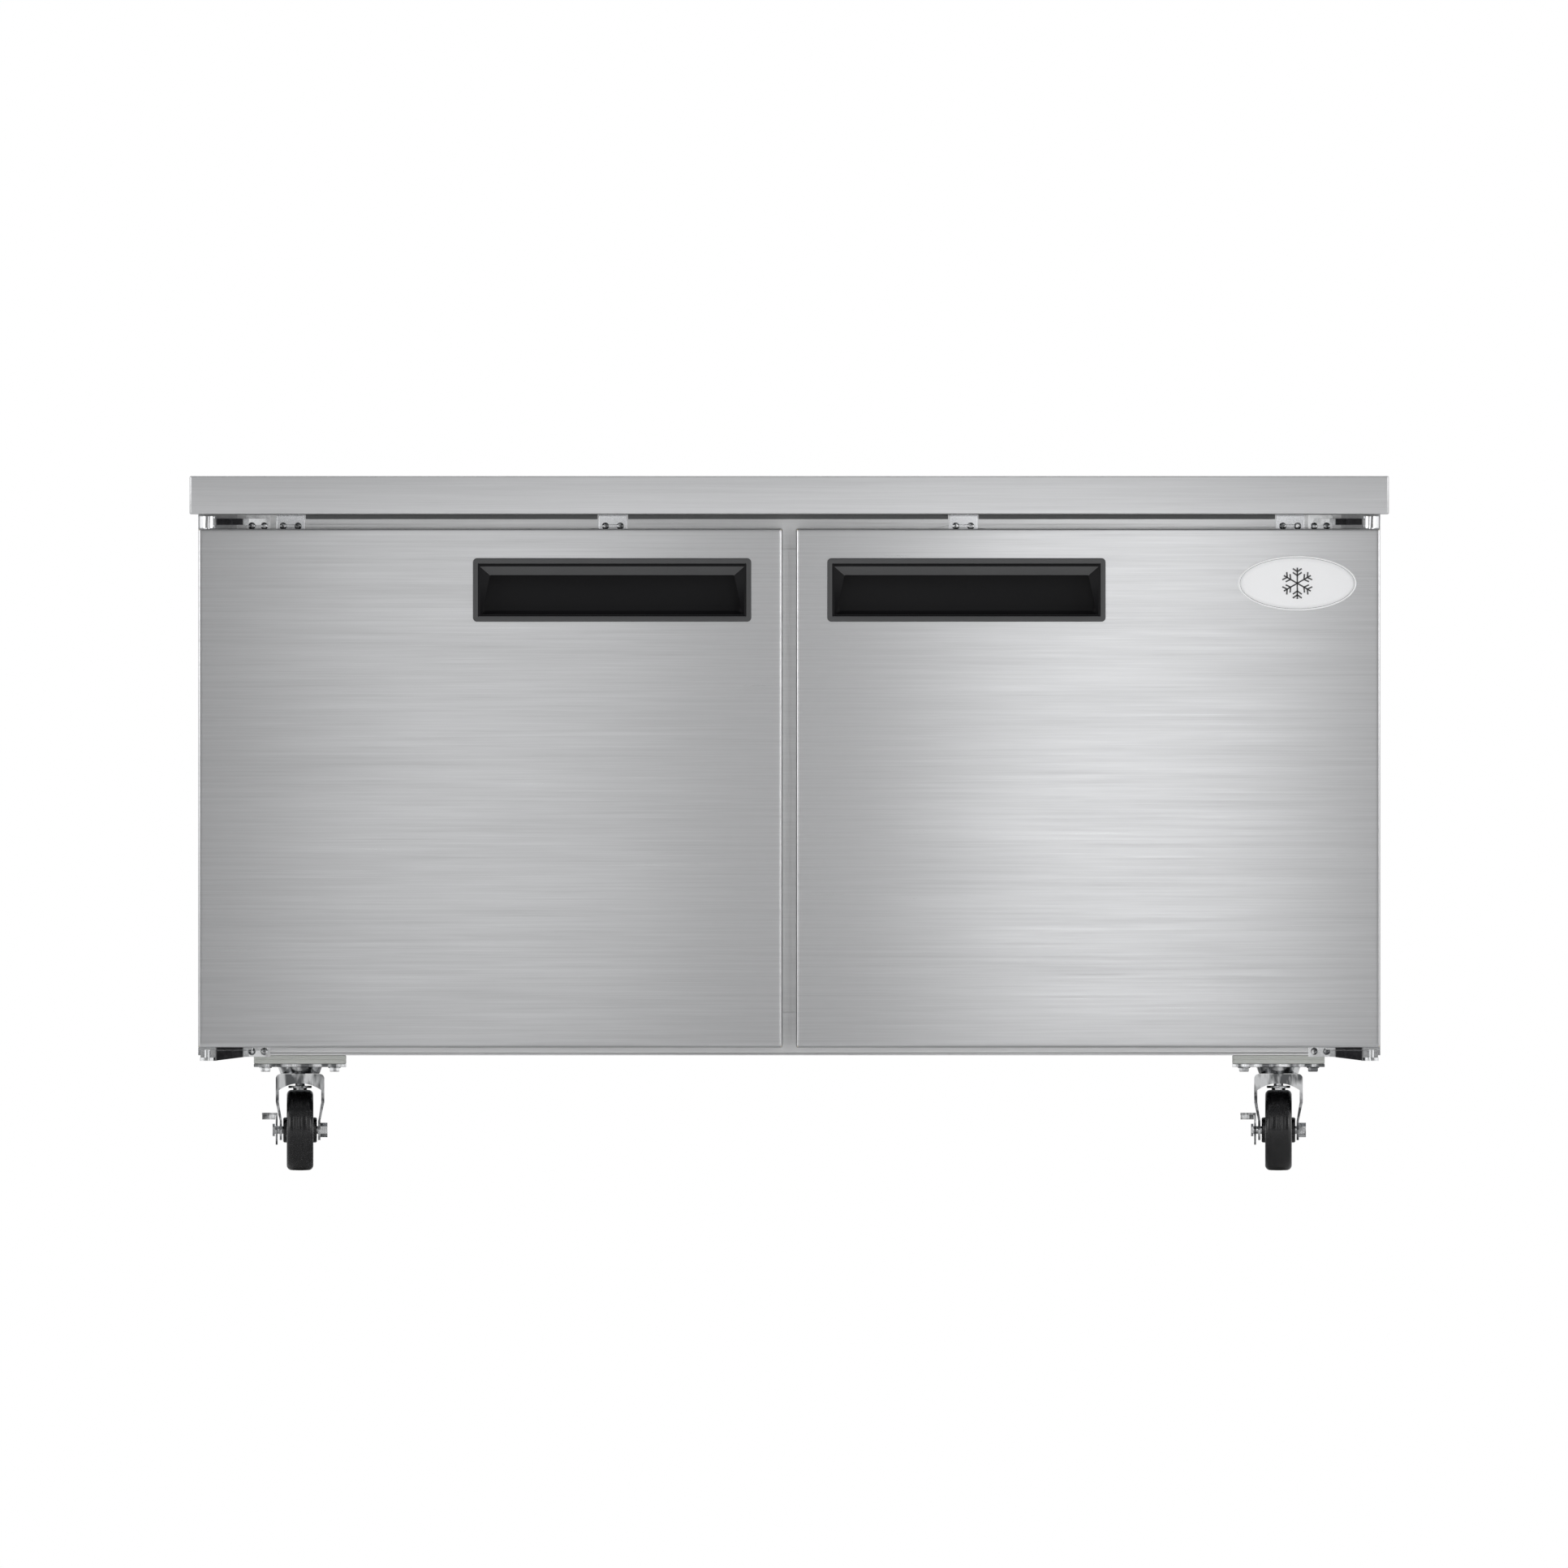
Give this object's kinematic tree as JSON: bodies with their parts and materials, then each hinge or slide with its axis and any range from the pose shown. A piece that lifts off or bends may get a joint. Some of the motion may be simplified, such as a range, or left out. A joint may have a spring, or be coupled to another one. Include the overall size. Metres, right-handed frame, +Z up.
{
  "type": "under counter fridge",
  "caption": "Low refrigerated cabinet with a flat steel worktop, hinged doors with recessed pulls, wire shelves and swivel casters.",
  "frame": {"origin": "on the floor, under the middle of the worktop", "axes": "+X to the right seen from the front, +Y to the back, +Z up; the doors face -Y"},
  "size_m": [1.53, 0.76, 0.886],
  "materials": {
    "worktop_steel": "satin",
    "core_board": "matte",
    "bracket_zinc": "satin",
    "screw_zinc": "polished",
    "panel_steel": "satin",
    "galvanised_sheet": "satin",
    "foam": "matte",
    "liner_sheet": "satin",
    "frame_steel": "satin",
    "standard_steel": "satin",
    "shelf_wire": "gloss",
    "white_plastic": "satin",
    "coil_fins": "satin",
    "motor_black": "satin",
    "copper_tube": "satin",
    "black_plastic": "satin",
    "hinge_chrome": "polished",
    "pad_plastic": "satin",
    "caster_zinc": "polished",
    "tyre_black": "satin",
    "door_steel": "satin",
    "gasket_grey": "matte",
    "handle_black": "satin",
    "badge_silver": "gloss"
  },
  "bodies": {
    "cabinet": {"worktop": "worktop_steel", "worktop_core": "core_board", "worktop_brackets": "bracket_zinc", "frame_screws": "screw_zinc", "side_panel_left": "panel_steel", "side_panel_right": "panel_steel", "back_panel": "galvanised_sheet", "roof_panel": "galvanised_sheet", "base_pan": "galvanised_sheet", "insulation": "foam", "inner_liner": "liner_sheet", "top_rail": "frame_steel", "bottom_rail": "frame_steel", "mullion": "frame_steel", "mullion_cover": "frame_steel", "shelf_standards": "standard_steel", "shelf_clips": "standard_steel", "wire_shelves": "shelf_wire", "evaporator_cover": "white_plastic", "evaporator_coil": "coil_fins", "fan_motors": "motor_black", "compressor": "motor_black", "condenser_coil": "coil_fins", "fan_shroud": "galvanised_sheet", "refrigerant_lines": "copper_tube", "drain_pan": "white_plastic", "rear_grille": "galvanised_sheet", "thermostat_box": "white_plastic", "power_inlet": "black_plastic", "top_hinges": "hinge_chrome", "bottom_hinges": "hinge_chrome", "caster_pads": "pad_plastic", "caster_plates": "caster_zinc", "caster_bolts": "caster_zinc"},
    "door_left": {"door_left_skin": "door_steel", "door_left_foam": "foam", "door_left_liner": "liner_sheet", "door_left_gasket": "gasket_grey", "door_left_handle": "handle_black", "door_left_hinge_plate": "hinge_chrome"},
    "door_right": {"door_right_skin": "door_steel", "door_right_foam": "foam", "door_right_liner": "liner_sheet", "door_right_gasket": "gasket_grey", "door_right_handle": "handle_black", "door_right_hinge_plate": "hinge_chrome", "badge": "badge_silver"},
    "evaporator_fan": {"evaporator_fan": "black_plastic"},
    "condenser_fan": {"condenser_fan": "black_plastic"},
    "thermostat_knob": {"thermostat_knob": "black_plastic"},
    "front_left_swivel": {"caster_front_left_fork": "caster_zinc"},
    "front_left_wheel": {"caster_front_left_wheel": "tyre_black"},
    "front_right_swivel": {"caster_front_right_fork": "caster_zinc"},
    "front_right_wheel": {"caster_front_right_wheel": "tyre_black"},
    "rear_left_swivel": {"caster_rear_left_fork": "caster_zinc"},
    "rear_left_wheel": {"caster_rear_left_wheel": "tyre_black"},
    "rear_right_swivel": {"caster_rear_right_fork": "caster_zinc"},
    "rear_right_wheel": {"caster_rear_right_wheel": "tyre_black"},
    "brake_pedal_left": {"brake_pedal_left": "caster_zinc"},
    "brake_pedal_right": {"brake_pedal_right": "caster_zinc"}
  },
  "joints": [
    {"name": "door_left_swing", "type": "hinge", "parent": "cabinet", "child": "door_left", "pos_m": [-0.742, -0.35, 0.5], "axis": [0, 0, 1], "range_deg": [-110, 0], "stiffness_Nm_per_rad": 1.5},
    {"name": "door_right_swing", "type": "hinge", "parent": "cabinet", "child": "door_right", "pos_m": [0.742, -0.35, 0.5], "axis": [0, 0, 1], "range_deg": [0, 110], "stiffness_Nm_per_rad": 1.5},
    {"name": "front_left_swivel_turn", "type": "hinge", "parent": "cabinet", "child": "front_left_swivel", "pos_m": [-0.624, -0.25, 0.12], "axis": [0, 0, 1], "continuous": true},
    {"name": "front_left_wheel_roll", "type": "hinge", "parent": "front_left_swivel", "child": "front_left_wheel", "pos_m": [-0.624, -0.22, 0.0517], "axis": [1, 0, 0], "continuous": true},
    {"name": "front_right_swivel_turn", "type": "hinge", "parent": "cabinet", "child": "front_right_swivel", "pos_m": [0.624, -0.25, 0.12], "axis": [0, 0, 1], "continuous": true},
    {"name": "front_right_wheel_roll", "type": "hinge", "parent": "front_right_swivel", "child": "front_right_wheel", "pos_m": [0.624, -0.22, 0.0517], "axis": [1, 0, 0], "continuous": true},
    {"name": "rear_left_swivel_turn", "type": "hinge", "parent": "cabinet", "child": "rear_left_swivel", "pos_m": [-0.624, 0.25, 0.12], "axis": [0, 0, 1], "continuous": true},
    {"name": "rear_left_wheel_roll", "type": "hinge", "parent": "rear_left_swivel", "child": "rear_left_wheel", "pos_m": [-0.624, 0.28, 0.0517], "axis": [1, 0, 0], "continuous": true},
    {"name": "rear_right_swivel_turn", "type": "hinge", "parent": "cabinet", "child": "rear_right_swivel", "pos_m": [0.624, 0.25, 0.12], "axis": [0, 0, 1], "continuous": true},
    {"name": "rear_right_wheel_roll", "type": "hinge", "parent": "rear_right_swivel", "child": "rear_right_wheel", "pos_m": [0.624, 0.28, 0.0517], "axis": [1, 0, 0], "continuous": true},
    {"name": "brake_left_press", "type": "hinge", "parent": "front_left_swivel", "child": "brake_pedal_left", "pos_m": [-0.624, -0.22, 0.0517], "axis": [1, 0, 0], "range_deg": [0, 20]},
    {"name": "brake_right_press", "type": "hinge", "parent": "front_right_swivel", "child": "brake_pedal_right", "pos_m": [0.624, -0.22, 0.0517], "axis": [1, 0, 0], "range_deg": [0, 20]},
    {"name": "evaporator_fan_spin", "type": "hinge", "parent": "cabinet", "child": "evaporator_fan", "pos_m": [-0.14, 0.193, 0.71], "axis": [0, 1, 0], "continuous": true},
    {"name": "condenser_fan_spin", "type": "hinge", "parent": "cabinet", "child": "condenser_fan", "pos_m": [-0.33, 0.262, 0.282], "axis": [0, 1, 0], "continuous": true},
    {"name": "thermostat_turn", "type": "hinge", "parent": "cabinet", "child": "thermostat_knob", "pos_m": [0.215, 0.145, 0.71], "axis": [0, 1, 0], "range_deg": [0, 270]}
  ]
}
